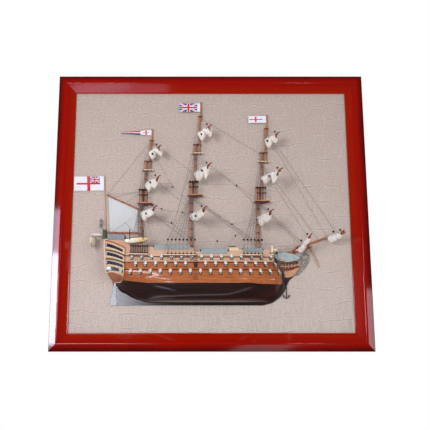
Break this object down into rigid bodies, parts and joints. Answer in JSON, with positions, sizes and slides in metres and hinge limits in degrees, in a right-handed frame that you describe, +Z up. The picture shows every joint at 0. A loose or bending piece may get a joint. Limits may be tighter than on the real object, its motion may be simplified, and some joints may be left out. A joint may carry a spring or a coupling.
{
  "type": "framed half model of a sailing warship",
  "caption": "Starboard half model of a three-masted, three-decked wooden sailing warship, rigged with gathered sails, on a linen-covered board in a lacquered wall frame.",
  "frame": {"origin": "middle of the flat back, where the object meets the wall", "axes": "+X to the ship's bow, the viewer's right; +Y into the wall; +Z up"},
  "size_m": [0.89, 0.1304, 0.79],
  "materials": {
    "lacquer": "high-gloss cherry-red lacquer over dark wood",
    "board": "plain panel board, unfinished at the back",
    "linen": "natural linen, slightly creased",
    "hull_wood": "varnished strip planking, orange-brown above the waterline and dark brown-black below",
    "pale_wood": "varnished pale timber with dark mouldings",
    "spar_wood": "red-brown varnish",
    "mast_wood": "satin varnished timber",
    "top_wood": "dark varnished timber",
    "sail_cloth": "plain off-white cotton",
    "flag_cloth": "printed cotton, white with red and blue",
    "boat_paint": "cream paint, varnished",
    "silver": "small castings in aged silver grey",
    "iron": "black painted metal",
    "rigging": "fine grey-black thread",
    "blocks": "black stained blocks and deadeyes"
  },
  "bodies": {
    "root": {"frame_rail_bottom": "lacquer", "frame_stile_left": "lacquer", "frame_rail_top": "lacquer", "frame_stile_right": "lacquer", "backing_panel": "board", "linen_ground": "linen", "half_hull": "hull_wood", "rudder": "hull_wood", "quarter_gallery": "pale_wood", "lower_mast_mizzen": "mast_wood", "top_mizzen": "top_wood", "topmast_mizzen": "mast_wood", "topgallant_mast_mizzen": "mast_wood", "yard_mizzen_crossjack": "spar_wood", "sail_mizzen_crossjack": "sail_cloth", "yard_mizzen_topsail": "spar_wood", "sail_mizzen_topsail": "sail_cloth", "yard_mizzen_topgallant": "spar_wood", "sail_mizzen_topgallant": "sail_cloth", "lower_mast_main": "mast_wood", "top_main": "top_wood", "topmast_main": "mast_wood", "topgallant_mast_main": "mast_wood", "yard_main_course": "spar_wood", "sail_main_course": "sail_cloth", "yard_main_topsail": "spar_wood", "sail_main_topsail": "sail_cloth", "yard_main_topgallant": "spar_wood", "sail_main_topgallant": "sail_cloth", "lower_mast_fore": "mast_wood", "top_fore": "top_wood", "topmast_fore": "mast_wood", "topgallant_mast_fore": "mast_wood", "yard_fore_course": "spar_wood", "sail_fore_course": "sail_cloth", "yard_fore_topsail": "spar_wood", "sail_fore_topsail": "sail_cloth", "yard_fore_topgallant": "spar_wood", "sail_fore_topgallant": "sail_cloth", "yard_spritsail": "spar_wood", "sail_spritsail": "sail_cloth", "yard_sprit_topsail": "spar_wood", "sail_sprit_topsail": "sail_cloth", "bowsprit": "spar_wood", "jibboom": "spar_wood", "dolphin_striker": "pale_wood", "driver_gaff": "spar_wood", "driver_boom": "spar_wood", "driver_sail": "sail_cloth", "ensign_staff": "pale_wood", "flag_ensign": "flag_cloth", "pennant": "flag_cloth", "flag_main": "flag_cloth", "flag_fore": "flag_cloth", "quarter_boat": "boat_paint", "stern_boat": "boat_paint", "head_rails": "spar_wood", "figurehead": "silver", "anchor": "iron"}
  },
  "joints": []
}
